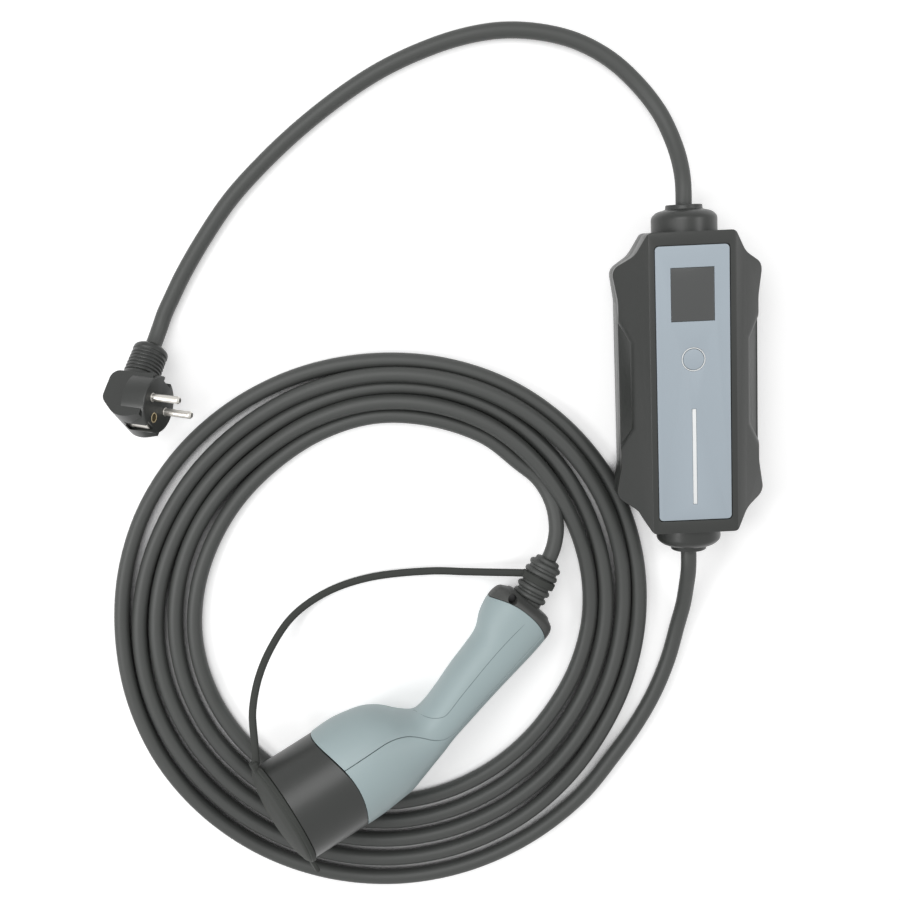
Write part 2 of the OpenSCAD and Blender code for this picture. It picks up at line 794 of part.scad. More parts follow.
// Everything in front of the slanted mouth
module before_mouth() {
    translate([-nose_l, 0, 0]) rotate(mouth_turn) translate([-far, -far / 2, -far / 2])
        cube([far, far, far]);
}

module nose_housing() {
    color(black) gun_frame() difference() {
        union() {
            difference() {
                translate([-far / 2, 0, 0]) along_nose() cylinder(r = nose_r, h = far / 2 + edge_sag);
                behind_nose();
            }
            translate([-far / 2, 0, 0]) along_nose() cylinder(r = sleeve_r, h = far / 2 + sleeve_back);
        }
        before_mouth();
        translate([-far / 2 - cut, 0, 0]) along_nose() cylinder(r = sleeve_r - sleeve_wall, h = far);
    }
}

module contact_places(places) {
    for (p = places) translate([-insert_front, p.y, p.x]) along_nose() children();
}

// Round block with a flat on top, held by a flange in the nose
module contact_insert() {
    color([0.22, 0.22, 0.22]) gun_frame() difference() {
        union() {
            intersection() {
                translate([-insert_front, 0, 0]) along_nose()
                    cylinder(r = insert_r, h = insert_front + sleeve_back);
                translate([-far / 2, -insert_r, -far / 2]) cube([far, (1 + insert_flat) * insert_r, far]);
            }
            translate([sleeve_back - insert_foot, 0, 0]) along_nose()
                cylinder(r = sleeve_r - sleeve_wall - fit, h = insert_foot);
        }
        translate([-cut, 0, 0]) contact_places(power_places) cylinder(r = power_r + fit, h = far, $fn = 32);
        translate([-cut, 0, 0]) contact_places(signal_places) cylinder(r = signal_r + fit, h = far, $fn = 32);
    }
}

module contact_sleeve(r) {
    difference() {
        translate([0, 0, contact_in]) cylinder(r = r, h = insert_front + sleeve_back, $fn = 32);
        cylinder(r = r - contact_wall, h = insert_front, $fn = 32);
    }
}

module contacts() {
    color(steel) gun_frame() {
        contact_places(power_places) contact_sleeve(power_r);
        contact_places(signal_places) contact_sleeve(signal_r);
    }
}

module cap_frame() {
    gun_frame() translate([-nose_l, 0, 0]) rotate(mouth_turn) children();
}

// Domed rubber lid with a rim inside the nose, a pull tab and a lug for the tether
module dust_cap() {
    steps = 8;
    ball = (pow(cap_r, 2) + pow(cap_dome, 2)) / (2 * cap_dome);
    reach = asin(cap_r / ball);
    middle = cap_edge + cap_dome - ball;
    dome_arc = [for (i = [0:steps]) let (a = reach * (1 - i / steps))
        [ball * sin(a), middle + ball * cos(a)]];
    color([0.33, 0.34, 0.31]) cap_frame() {
        rotate([0, -90, 0]) rotate_extrude() polygon(concat([[0, 0], [cap_r, 0]], dome_arc));
        rotate([0, 90, 0]) translate([0, 0, -cut]) difference() {
            cylinder(r = cap_rim_r, h = cap_rim_l + cut);
            translate([0, 0, cut]) cylinder(r = cap_rim_r - cap_rim_wall, h = cap_rim_l + cut);
        }
        translate([-tab_size.x, -cap_r - tab_out, -tab_size.z / 2]) cube(tab_size);
        translate([-lug_size.x, cap_r - lug_in, -lug_size.z / 2]) cube(lug_size);
    }
}

module boot_frame() {
    gun_frame() translate(flat(boot_at)) rotate([0, 0, boot_turn]) children();
}

module cap_strap() {
    color([0.33, 0.34, 0.31]) {
        gun_frame() tube(strap_route, strap_d, 8);
        boot_frame() translate([strap_ring_at - strap_ring_l / 2, 0, 0]) along_nose() difference() {
            cylinder(r = strap_ring_r + strap_ring_wall, h = strap_ring_l);
            translate([0, 0, -cut]) cylinder(r = strap_ring_r, h = far);
        }
    }
}

module tail_collar() {
    color(black) difference() {
        gun_frame() intersection() {
            gun_form(0);
            behind_grip();
        }
        gun_frame() translate([collar_hole.x, collar_hole.y, collar_screw_z])
            cylinder(r = collar_screw_r + fit, h = far, $fn = 32);
        boot_frame() translate([-far, 0, 0]) along_nose() cylinder(r = boot_r - boot_end, h = 2 * far);
    }
}

module collar_screw() {
    color(steel) gun_frame() translate([collar_hole.x, collar_hole.y, collar_screw_z])
        cylinder(r = collar_screw_r, h = collar_screw_l, $fn = 32);
}

// Ribbed boot that grips the cable, with a plain groove for the tether's ring
module cable_boot() {
    neck = boot_r - boot_end - fit;
    tip_r = cable_d / 2 + boot_lip;
    ribs = [for (i = [0:boot_ribs - 1])
        let (x = boot_plain + i * boot_pitch, r = boot_radius(x), low = r - rib_depth,
             top = i == ring_rib ? low : r)
        each [[top, x], [top, x + boot_pitch * rib_share], [low, x + boot_pitch * rib_share],
              [low, x + boot_pitch]]];
    color(black) boot_frame() along_nose() rotate_extrude()
        polygon(concat([[0, -boot_foot], [neck, -boot_foot], [neck, boot_plain]], ribs,
            [[tip_r, boot_l - boot_end], [tip_r, boot_l], [0, boot_l]]));
}

front_shell();
back_shell();
shell_seal();
front_panel();
display_window();
button_cap();
button_ring();
light_bar();
display_board();
display_module();
button_switch();
main_board();
relays();
current_sensor();
power_module();
terminal_blocks();
board_screws();
shell_screws();
gland_in();
gland_out();
mains_lead();
output_lead();
cable_coil();
gun_lead();
plug_body();
plug_pins();
plug_earth();
gun_shell();
gun_underside();
nose_housing();
contact_insert();
contacts();
dust_cap();
cap_strap();
tail_collar();
collar_screw();
cable_boot();
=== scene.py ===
import math
import bpy
import bmesh
from mathutils import Matrix, Vector


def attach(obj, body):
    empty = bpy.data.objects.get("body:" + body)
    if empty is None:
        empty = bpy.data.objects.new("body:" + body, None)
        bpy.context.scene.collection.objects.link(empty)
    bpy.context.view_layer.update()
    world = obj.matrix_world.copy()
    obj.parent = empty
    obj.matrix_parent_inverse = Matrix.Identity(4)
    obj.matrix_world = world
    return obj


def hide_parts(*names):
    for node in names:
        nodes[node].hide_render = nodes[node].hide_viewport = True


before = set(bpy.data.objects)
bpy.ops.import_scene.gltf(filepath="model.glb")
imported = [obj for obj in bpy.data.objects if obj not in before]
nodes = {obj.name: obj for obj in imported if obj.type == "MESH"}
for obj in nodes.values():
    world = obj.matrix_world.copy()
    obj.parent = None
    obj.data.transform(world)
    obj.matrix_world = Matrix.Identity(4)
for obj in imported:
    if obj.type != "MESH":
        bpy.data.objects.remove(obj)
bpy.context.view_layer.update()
scene = bpy.context.scene
mm = 0.001


# shader wires
class Wire:
    def __init__(self, tree, socket=None):
        self.tree = tree
        self.socket = socket

    def make(self, kind, settings=None, inputs=None, out=0):
        made = self.tree.nodes.new(kind)
        for key, value in (settings or {}).items():
            setattr(made, key, value)
        for key, value in (inputs or {}).items():
            if isinstance(value, Wire):
                self.tree.links.new(value.socket, made.inputs[key])
            else:
                made.inputs[key].default_value = value
        return Wire(self.tree, made.outputs[out] if made.outputs else None)

    def math(self, how, first, second):
        return self.make("ShaderNodeMath", {"operation": how}, {0: first, 1: second})

    def __add__(self, other):
        return self.math("ADD", self, other)

    def __radd__(self, other):
        return self.math("ADD", other, self)

    def __mul__(self, other):
        return self.math("MULTIPLY", self, other)


def blankLook(name):
    look = bpy.data.materials.new(name)
    look.use_nodes = True
    look.node_tree.nodes.clear()
    return look, Wire(look.node_tree)


def blendColours(wire, share, dark, light):
    return wire.make("ShaderNodeMix", {"data_type": "RGBA"},
                     {0: share, 6: (*dark, 1), 7: (*light, 1)}, out=2)


# moulded plastic or rubber: cloudy tone, uneven gloss and a fine grain
def mouldedLook(name, shade, rough, grain=2600, depth=0.05, uneven=0.06, cloud=0.05, coat=0.0, shine=0.5):
    look, wire = blankLook(name)
    place = wire.make("ShaderNodeTexCoord", out=3)
    clouds = wire.make("ShaderNodeTexNoise", {"noise_dimensions": "3D"},
                       {"Vector": place, "Scale": 28.0, "Detail": 3.0, "Roughness": 0.55})
    speck = wire.make("ShaderNodeTexNoise", {"noise_dimensions": "3D"},
                      {"Vector": place, "Scale": float(grain), "Detail": 2.0, "Roughness": 0.6})
    dark = [c * (1 - cloud) for c in shade]
    light = [c * (1 + cloud) for c in shade]
    tone = blendColours(wire, clouds * 0.7 + speck * 0.3, dark, light)
    gloss = rough - uneven * 0.5 + clouds * uneven
    relief = wire.make("ShaderNodeBump", None, {"Strength": depth, "Distance": 0.0004, "Height": speck})
    skin = wire.make("ShaderNodeBsdfPrincipled", None,
                     {"Base Color": tone, "Roughness": gloss, "Normal": relief, "Coat Weight": coat,
                      "Coat Roughness": 0.2, "Specular IOR Level": shine})
    wire.make("ShaderNodeOutputMaterial", None, {"Surface": skin})
    return look


# cable sheath: drawn streaks along its length, read from the tube's own UV
def sheathLook(name, shade, rough):
    look, wire = blankLook(name)
    run = wire.make("ShaderNodeTexCoord", out=2)
    stretch = wire.make("ShaderNodeMapping", None, {"Vector": run, "Scale": (9.0, 26.0, 1.0)})
    streak = wire.make("ShaderNodeTexNoise", {"noise_dimensions": "2D"},
                       {"Vector": stretch, "Scale": 1.0, "Detail": 3.0, "Roughness": 0.6})
    place = wire.make("ShaderNodeTexCoord", out=3)
    speck = wire.make("ShaderNodeTexNoise", {"noise_dimensions": "3D"},
                      {"Vector": place, "Scale": 1900.0, "Detail": 2.0})
    tone = blendColours(wire, streak * 0.6 + speck * 0.4, [c * 0.9 for c in shade], [c * 1.12 for c in shade])
    gloss = rough - 0.04 + streak * 0.08
    relief = wire.make("ShaderNodeBump", None,
                       {"Strength": 0.06, "Distance": 0.0004, "Height": speck * 0.6 + streak * 0.4})
    skin = wire.make("ShaderNodeBsdfPrincipled", None,
                     {"Base Color": tone, "Roughness": gloss, "Normal": relief})
    wire.make("ShaderNodeOutputMaterial", None, {"Surface": skin})
    return look


# turned or pressed metal with fine brushing
def metalLook(name, shade, rough):
    look, wire = blankLook(name)
    place = wire.make("ShaderNodeTexCoord", out=3)
    drawn = wire.make("ShaderNodeMapping", None, {"Vector": place, "Scale": (300.0, 2400.0, 2400.0)})
    brush = wire.make("ShaderNodeTexNoise", {"noise_dimensions": "3D"},
                      {"Vector": drawn, "Scale": 1.0, "Detail": 2.0})
    tone = blendColours(wire, brush, [c * 0.86 for c in shade], [min(1, c * 1.08) for c in shade])
    gloss = rough - 0.06 + brush * 0.12
    skin = wire.make("ShaderNodeBsdfPrincipled", None,
                     {"Base Color": tone, "Roughness": gloss, "Metallic": 1.0})
    wire.make("ShaderNodeOutputMaterial", None, {"Surface": skin})
    return look


looks = {
    "black": mouldedLook("satinBlack", (0.027, 0.029, 0.027), 0.36, depth=0.06),
    "collar": mouldedLook("collarBlack", (0.06, 0.062, 0.059), 0.5, depth=0.06),
    "dark": mouldedLook("innerDark", (0.03, 0.03, 0.033), 0.55),
    "panelGrey": mouldedLook("panelGrey", (0.385, 0.445, 0.495), 0.5, grain=2200, depth=0.05, cloud=0.025),
    "shellGrey": mouldedLook("shellGrey", (0.345, 0.425, 0.435), 0.46, grain=2200, depth=0.05, cloud=0.025),
    "sheath": sheathLook("cableSheath", (0.055, 0.058, 0.055), 0.5),
    "rubber": mouldedLook("capRubber", (0.052, 0.055, 0.051), 0.7, grain=1600, depth=0.08, shine=0.18),
    "guide": mouldedLook("lightGuide", (0.86, 0.88, 0.88), 0.35, grain=900, depth=0.02, cloud=0.02),
    "window": mouldedLook("displayWindow", (0.052, 0.055, 0.054), 0.16, grain=600, depth=0.004, cloud=0.02,
                          coat=0.5),
    # the grip line's dark grey is painted shade of a groove, not a colour of the plastic
    "groove": mouldedLook("paintedGrooveShade", (0.15, 0.19, 0.195), 0.55, cloud=0.03),
    "blackened": metalLook("blackenedScrew", (0.06, 0.06, 0.06), 0.42),
    "board": mouldedLook("circuitBoard", (0.03, 0.11, 0.05), 0.45, grain=1200),
    "steel": metalLook("platedPin", (0.62, 0.60, 0.56), 0.3),
    "brass": metalLook("earthClip", (0.55, 0.45, 0.28), 0.34),
}
print("looks", len(looks))


# camera, floor and light
stage = {
    "cameraAt": (-146.3, 94.3, 818.6), "cameraTo": (-152.5, -42.5, 0), "lens": 50,
    "floorWhite": 0.86, "lift": 0.38, "worldLevel": 0.42,
    # gapPaintedShade: the floor's dark grey between the coil's turns, a painted shade
    "gapReach": 0.012, "gapOpen": (0.25, 0.5), "gapPaintedShade": 0.12, "floorReach": 6.0, "floorDrop": 0.0006,
}
camera = bpy.data.cameras.new("photoView")
camera.lens = stage["lens"]
camera.sensor_width = 36
camera.clip_start = 0.01
cameraObj = bpy.data.objects.new("photoView", camera)
scene.collection.objects.link(cameraObj)
eye = Vector(stage["cameraAt"]) * mm
gaze = (Vector(stage["cameraTo"]) * mm - eye).normalized()
rightWay = Vector((-gaze.y, gaze.x, 0)).normalized()   # the picture's top is the box's mains end
upWay = rightWay.cross(gaze)
cameraObj.matrix_world = Matrix((
    (rightWay.x, upWay.x, -gaze.x, eye.x), (rightWay.y, upWay.y, -gaze.y, eye.y),
    (rightWay.z, upWay.z, -gaze.z, eye.z), (0, 0, 0, 1)))
scene.camera = cameraObj
scene.view_settings.view_transform = "Standard"


# rays from the camera, off gloss and through glass all meet the white background
def seenRays(wire):
    path = wire.tree.nodes.new("ShaderNodeLightPath")
    direct, mirrored, through = [Wire(wire.tree, path.outputs["Is " + kind + " Ray"])
                                 for kind in ("Camera", "Glossy", "Transmission")]
    return wire.math("MAXIMUM", wire.math("MAXIMUM", direct, mirrored), through)


world = bpy.data.worlds.new("studio")
world.use_nodes = True
world.node_tree.nodes.clear()
air = Wire(world.node_tree)
soft = air.make("ShaderNodeBackground", None, {"Color": (1, 1, 1, 1), "Strength": stage["worldLevel"]})
white = air.make("ShaderNodeBackground", None, {"Color": (1, 1, 1, 1), "Strength": 1.0})
seen = air.make("ShaderNodeMixShader", None, {0: seenRays(air), 1: soft, 2: white})
air.make("ShaderNodeOutputWorld", None, {"Surface": seen})
scene.world = world

floorLook, paper = blankLook("paperFloor")
matt = paper.make("ShaderNodeBsdfDiffuse", None, {"Color": (*[stage["floorWhite"]] * 3, 1)})
glow = paper.make("ShaderNodeEmission", None, {"Color": (1, 1, 1, 1), "Strength": stage["lift"]})
lifted = paper.make("ShaderNodeAddShader", None, {0: matt, 1: glow})
# the lift fades in narrow gaps, so the floor between two turns of the coil stays in their shadow; there the
# floor's colour also drops to a dark grey, a painted shade
openSky = paper.make("ShaderNodeAmbientOcclusion", {"samples": 12}, {"Distance": stage["gapReach"]}, out=1)
openSky = paper.make("ShaderNodeMapRange", None, {0: openSky, 1: stage["gapOpen"][0], 2: stage["gapOpen"][1]})
shade = paper.make("ShaderNodeBsdfDiffuse", None, {"Color": (*[stage["gapPaintedShade"]] * 3, 1)})
sunk = paper.make("ShaderNodeMixShader", None, {0: openSky, 1: shade, 2: matt})
seenLift = seenRays(paper) * openSky
floorMix = paper.make("ShaderNodeMixShader", None, {0: seenLift, 1: sunk, 2: lifted})
paper.make("ShaderNodeOutputMaterial", None, {"Surface": floorMix})
floorMesh = bpy.data.meshes.new("paperFloor")
floorMesh.from_pydata([(x * stage["floorReach"], y * stage["floorReach"], -stage["floorDrop"])
                       for x, y in ((-1, -1), (1, -1), (1, 1), (-1, 1))], [], [(0, 1, 2, 3)])
floorMesh.materials.append(floorLook)
floorObj = bpy.data.objects.new("paperFloor", floorMesh)
scene.collection.objects.link(floorObj)


def softLamp(name, at, to, size, power):
    lamp = bpy.data.lights.new(name, "AREA")
    lamp.shape = "DISK"
    lamp.size = size
    lamp.energy = power
    lampObj = bpy.data.objects.new(name, lamp)
    scene.collection.objects.link(lampObj)
    lampObj.location = at
    lampObj.rotation_euler = (Vector(to) - Vector(at)).to_track_quat("-Z", "Y").to_euler()


lamps = {
    "topSoftbox": {"at": (-0.55, 0.6, 1.5), "to": (-0.15, -0.05, 0), "size": 1.2, "power": 10.3},
    "leftStrip": {"at": (-1.1, -0.25, 1.0), "to": (-0.1, -0.05, 0), "size": 0.45, "power": 4.8},
    "rightStrip": {"at": (1.0, 0.3, 1.1), "to": (-0.1, -0.05, 0), "size": 0.45, "power": 3.4},
}
for name, lamp in lamps.items():
    softLamp(name, **lamp)
print("stage set")


# mesh helpers
def smoothRoute(points, step):
    pts = [Vector(p) for p in points]
    pts = [pts[0] * 2 - pts[1]] + pts + [pts[-1] * 2 - pts[-2]]
    out = []
    for i in range(1, len(pts) - 2):
        p0, p1, p2, p3 = pts[i - 1:i + 3]
        d0, d1, d2 = [max((b - a).length, 1e-6) ** 0.5 for a, b in ((p0, p1), (p1, p2), (p2, p3))]
        m1 = ((p1 - p0) / d0 - (p2 - p0) / (d0 + d1) + (p2 - p1) / d1) * d1
        m2 = ((p2 - p1) / d1 - (p3 - p1) / (d1 + d2) + (p3 - p2) / d2) * d1
        count = max(2, round((p2 - p1).length / step))
        for j in range(count):
            t = j / count
            out.append((2 * t ** 3 - 3 * t ** 2 + 1) * p1 + (t ** 3 - 2 * t ** 2 + t) * m1
                       + (-2 * t ** 3 + 3 * t ** 2) * p2 + (t ** 3 - t ** 2) * m2)
    out.append(pts[-2])
    return out


def curveValue(table, x, column):
    if x <= table[0][0]:
        return table[0][column]
    if x >= table[-1][0]:
        return table[-1][column]
    i = max(k for k in range(len(table) - 1) if table[k][0] <= x)

    def slope(k):
        lo, hi = max(k - 1, 0), min(k + 1, len(table) - 1)
        return (table[hi][column] - table[lo][column]) / (table[hi][0] - table[lo][0])
    span = table[i + 1][0] - table[i][0]
    t = (x - table[i][0]) / span
    return ((2 * t ** 3 - 3 * t ** 2 + 1) * table[i][column] + (t ** 3 - 2 * t ** 2 + t) * span * slope(i)
            + (3 * t ** 2 - 2 * t ** 3) * table[i + 1][column] + (t ** 3 - t ** 2) * span * slope(i + 1))


def addGrid(bm, rows, around=False, loop=False, flip=False):
    verts = [[bm.verts.new(p) for p in row] for row in rows]
    n, m = len(verts), len(verts[0])
    for i in range(n if loop else n - 1):
        for j in range(m if around else m - 1):
            a, b = verts[i], verts[(i + 1) % n]
            quad = [a[j], a[(j + 1) % m], b[(j + 1) % m], b[j]]
            bm.faces.new(quad[::-1] if flip else quad)
    return verts


def capEnd(bm, ring):
    middle = bm.verts.new(sum((v.co for v in ring), Vector()) / len(ring))
    for j in range(len(ring)):
        bm.faces.new((ring[j], ring[(j + 1) % len(ring)], middle))


def finishPiece(name, bm, look, stands=(), body="charger", angle=35, bevel=0, segments=3, limit=32):
    bmesh.ops.remove_doubles(bm, verts=bm.verts, dist=1e-6)
    bmesh.ops.recalc_face_normals(bm, faces=bm.faces)
    mesh = bpy.data.meshes.new(name)
    bm.to_mesh(mesh)
    bm.free()
    return dressMesh(name, mesh, look, stands, body, angle, bevel, segments, limit)


def dressMesh(name, mesh, look, stands=(), body="charger", angle=35, bevel=0, segments=3, limit=32):
    mesh.materials.clear()
    mesh.materials.append(looks[look])
    for face in mesh.polygons:
        face.use_smooth = True
    obj = bpy.data.objects.new(name, mesh)
    scene.collection.objects.link(obj)
    if bevel:
        edge = obj.modifiers.new("softEdge", "BEVEL")
        edge.width = bevel * mm
        edge.segments = segments
        edge.limit_method = "ANGLE"
        edge.angle_limit = math.radians(limit)
        edge.harden_normals = True
    else:
        mesh.set_sharp_from_angle(angle=math.radians(angle))
    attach(obj, body)
    if stands:
        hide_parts(*stands)
    return obj


def solidCopy(nodeName, dissolve=0.6):
    source = nodes[nodeName]
    bm = bmesh.new()
    bm.from_mesh(source.data)
    bm.transform(source.matrix_world)
    bmesh.ops.remove_doubles(bm, verts=bm.verts, dist=2e-6)
    bmesh.ops.dissolve_limit(bm, angle_limit=math.radians(dissolve), verts=bm.verts, edges=bm.edges)
    return bm


def carved(bm, cutter):
    parts = []
    for label, part in (("carveBase", bm), ("carveTool", cutter)):
        bmesh.ops.recalc_face_normals(part, faces=part.faces)
        mesh = bpy.data.meshes.new(label)
        part.to_mesh(mesh)
        part.free()
        parts.append(bpy.data.objects.new(label, mesh))
        scene.collection.objects.link(parts[-1])
    take = parts[0].modifiers.new("carve", "BOOLEAN")
    take.operation = "DIFFERENCE"
    take.solver = "EXACT"
    take.object = parts[1]
    made = bpy.data.meshes.new_from_object(parts[0].evaluated_get(bpy.context.evaluated_depsgraph_get()))
    for part in parts:
        bpy.data.objects.remove(part)
    out = bmesh.new()
    out.from_mesh(made)
    bpy.data.meshes.remove(made)
    return out


def softened(bm, width, segments, chosen):
    edges = [e for e in bm.edges if len(e.link_faces) == 2 and e.calc_face_angle(0) > 0.3
             and all(chosen(v.co / mm) for v in e.verts)]
    bmesh.ops.bevel(bm, geom=edges, offset=width * mm, offset_type="OFFSET", segments=segments, profile=0.5,
                    affect="EDGES", clamp_overlap=True)
    return bm


def turnedRows(profile, place, segments):
    turns = [2 * math.pi * k / segments for k in range(segments)]
    return [[place @ Vector((r * math.cos(a) * mm, r * math.sin(a) * mm, h * mm)) for a in turns]
            for r, h in profile]


def turnedSolid(profile, place, segments=64):
    bm = bmesh.new()
    verts = addGrid(bm, turnedRows(profile, place, segments), around=True)
    for ring, (r, h) in ((verts[0], profile[0]), (verts[-1], profile[-1])):
        if r > 0:
            capEnd(bm, ring)
    return bm


def turnedRing(profile, place, segments):
    bm = bmesh.new()
    addGrid(bm, turnedRows(profile, place, segments), around=True, loop=True)
    return bm


def roundProfile(points, radii, steps=4):
    out = []
    for i, p in enumerate(points):
        p = Vector(p)
        if not radii[i]:
            out.append(tuple(p))
            continue
        a, b = Vector(points[i - 1]) - p, Vector(points[i + 1]) - p
        cut = min(radii[i], a.length * 0.49, b.length * 0.49)
        a, b = p + a.normalized() * cut, p + b.normalized() * cut
        for k in range(steps + 1):
            t = k / steps
            out.append(tuple(a * (1 - t) ** 2 + p * 2 * t * (1 - t) + b * t ** 2))
    return out


def axisPlace(at, way, side):
    z = Vector(way).normalized()
    x = (Vector(side) - z * Vector(side).dot(z)).normalized()
    y = z.cross(x)
    return Matrix(((x.x, y.x, z.x, at[0]), (x.y, y.y, z.y, at[1]), (x.z, y.z, z.z, at[2]), (0, 0, 0, 1)))


# round tube along a route, with the run along it in its UV
def routeTube(name, route, diameter, look, sides=18):
    bm = bmesh.new()
    uv = bm.loops.layers.uv.new("run")
    side = None
    rows, runs, run = [], [], 0.0
    for i, p in enumerate(route):
        way = (route[min(i + 1, len(route) - 1)] - route[max(i - 1, 0)]).normalized()
        if i:
            run += (p - route[i - 1]).length
        if side is None:
            side = Vector((0, 0, 1)).cross(way).normalized()
        side = (side - way * side.dot(way)).normalized()
        up = way.cross(side)
        rows.append([p + diameter / 2 * (math.cos(2 * math.pi * k / sides) * side
                                         + math.sin(2 * math.pi * k / sides) * up) for k in range(sides)])
        runs.append(run)
    verts = [[bm.verts.new(q) for q in row] for row in rows]
    for i in range(len(rows) - 1):
        for j in range(sides):
            face = bm.faces.new((verts[i][j], verts[i][(j + 1) % sides], verts[i + 1][(j + 1) % sides],
                                 verts[i + 1][j]))
            spots = ((i, j), (i, j + 1), (i + 1, j + 1), (i + 1, j))
            for corner, (a, b) in zip(face.loops, spots):
                corner[uv].uv = (runs[a] * 10, b / sides)
    for ring in (verts[0], verts[-1]):
        capEnd(bm, ring)
    return finishPiece(name, bm, look), runs[-1]


# cords
cable = {"diameter": 10.2, "lay": 5.3, "ringStep": 4.5}
lay = cable["lay"]
plugTip = (-340.94, 35.59, 11.78)
bootTip = (-90.39, -115.95, 15.08)
mainsRoute = [
    (0, 110, 26), (0, 118, 26), (0, 126, 24), (-1, 138, 18.3), (-4, 151, 12.5), (-11, 168, 7.5),
    (-24, 186, lay), (-41, 202, lay), (-62, 214, lay), (-85, 220.5, lay), (-109, 222.5, lay),
    (-134, 219.5, lay), (-159, 212.5, lay), (-185, 202, lay), (-210, 188, lay), (-237, 169.5, lay),
    (-261, 150, lay), (-285, 127, lay), (-304, 103, lay), (-319, 81, lay), (-327.5, 66.3, lay),
    (-333.2, 56, lay + 0.1), (-336.1, 48.9, lay + 0.8), (-338.7, 42, lay + 3), plugTip]
outputRoute = [
    (0, -110, 26), (0, -118, 26), (0, -126, 24), (-0.5, -138, 18.3), (-1.5, -151, 12.5), (-5, -168, 7.5),
    (-11, -191, lay), (-20.5, -214, lay), (-33, -236, lay), (-48, -257, lay)]
gunRoute = [
    (-107, -52.5, lay), (-96.7, -61.3, lay + 0.4), (-91.7, -68, lay + 1.1), (-87.9, -75.4, lay + 2.3),
    (-85.4, -83.4, lay + 4), (-84.4, -95.1, lay + 6.3), (-85.1, -101.3, lay + 7.4),
    (-87.1, -108.9, lay + 8.6), bootTip]
coil = {
    "middle": (-202, -161),
    # radius of each turn every 30 degrees, clockwise from the lead's side
    "turns": [
        [0, 181.5, 180, 181, 181.5, 180.5, 177.5, 178.3, 178.8, 180.5, 183, 180],
        [171.5, 165, 165.5, 167, 168, 168, 166, 163, 165, 171.5, 174.5, 170.5],
        [160.5, 153.5, 152, 153, 154.5, 155, 154.5, 152.6, 154.8, 162.5, 165, 157.5],
        [149, 141, 138.5, 139.5, 140.5, 141.5, 141.5, 142.2, 144.4, 153.5, 155.5, 146.5],
        [138, 128, 124.5, 125.5, 127, 127.5, 128.5, 129, 134, 144, 146.5, 0]],
    # the second and fourth turns ride up where the turns crowd together
    "lift": [0, 0, 0, 0, 0, 0, 0, 0.3, 2.6, 5.2, 6.3, 4.2],
    "from": 45, "to": 300, "step": 15,
}


def coilPoints():
    radii, lifts = [], []
    for k, row in enumerate(coil["turns"]):
        for j, r in enumerate(row):
            if r:
                turn = 360 * k + 30 * j
                radii.append((turn, r))
                lifts.append((turn, coil["lift"][j] if k in (1, 3) else 0))
    out = []
    turn = coil["from"]
    while turn <= 360 * 4 + coil["to"]:
        r = curveValue(radii, turn, 1)
        a = math.radians(-turn)
        out.append((coil["middle"][0] + r * math.cos(a), coil["middle"][1] + r * math.sin(a),
                    lay + max(0, curveValue(lifts, turn, 1))))
        turn += coil["step"]
    return out


def laidRoute(points):
    return [p * mm for p in smoothRoute(points, cable["ringStep"])]


mainsPath = laidRoute(mainsRoute)
chargePath = laidRoute(outputRoute + coilPoints() + gunRoute)
mainsCord, mainsLength = routeTube("mainsCord", mainsPath, cable["diameter"] * mm, "sheath")
chargeCord, chargeLength = routeTube("chargeCord", chargePath, cable["diameter"] * mm, "sheath",
                                     sides=16)
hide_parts("mains_lead")
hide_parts("output_lead", "cable_coil", "gun_lead")
print("cords", round(mainsLength, 3), round(chargeLength, 3))


# control box
crown = {"top": 51.9, "side": 24.5, "end": 90, "round": 2.2, "steps": 5}
scoop = {
    "crease": 36.5, "half": 26.5, "out": 9, "spread": 15.5, "floor": 33.5, "foot": 40, "leanTo": 43,
    "round": 2.4, "steps": 5, "near": 0.1, "endNear": 0.25, "lip": 0.3,
}


def onCrown(p):
    return p.z > crown["top"] and (abs(p.x) > crown["side"] or abs(p.y) > crown["end"])


def scoopEnd(x):
    return scoop["half"] + scoop["spread"] * (abs(x) - scoop["crease"]) / scoop["out"]


def onScoopEnd(p):
    share = (abs(p.x) - scoop["crease"]) / scoop["out"]
    return p.z > scoop["floor"] + scoop["lip"] and -0.02 < share < 1 \
        and abs(abs(p.y) - scoopEnd(p.x)) < scoop["endNear"]


frontBm = softened(solidCopy("front_shell"), crown["round"], crown["steps"], onCrown)
for v in frontBm.verts:   # the scoop's wall leans out as a soft slope
    x, y, z = v.co / mm
    if abs(abs(x) - scoop["foot"]) < scoop["near"] and abs(z - scoop["floor"]) < scoop["near"]:
        x = math.copysign(scoop["leanTo"], x)
        v.co = Vector((x, math.copysign(scoopEnd(x), y), z)) * mm
frontBm = softened(frontBm, scoop["round"], scoop["steps"], onScoopEnd)
finishPiece("frontShell", frontBm, "black", ["front_shell"], bevel=0.9)
finishPiece("backShell", solidCopy("back_shell"), "black", ["back_shell"], bevel=0.8)

panel = {"side": 20.5, "end": 83, "gap": 0.4}
panelBm = solidCopy("front_panel")
for v in panelBm.verts:   # a narrow shadow gap round the panel
    if abs(v.co.x) > panel["side"] * mm:
        v.co.x -= math.copysign(panel["gap"] * mm, v.co.x)
    if abs(v.co.y) > panel["end"] * mm:
        v.co.y -= math.copysign(panel["gap"] * mm, v.co.y)
finishPiece("frontPanel", panelBm, "panelGrey", ["front_panel"], bevel=0.35)

# node, look, slot, body and edge of each piece on the panel
panelTrim = {
    "displayWindow": ("display_window", "window", "display_plastic", "charger", 0.25),
    "lightBar": ("light_bar", "guide", "light_plastic", "charger", 0.3),
    "buttonRing": ("button_ring", "guide", "light_plastic", "charger", 0.15),
    "buttonCap": ("button_cap", "panelGrey", "blue_grey_plastic", "button", 0.3),
}
for name, (node, look, slot, body, edge) in panelTrim.items():
    finishPiece(name, solidCopy(node), look, [node], body=body, bevel=edge)

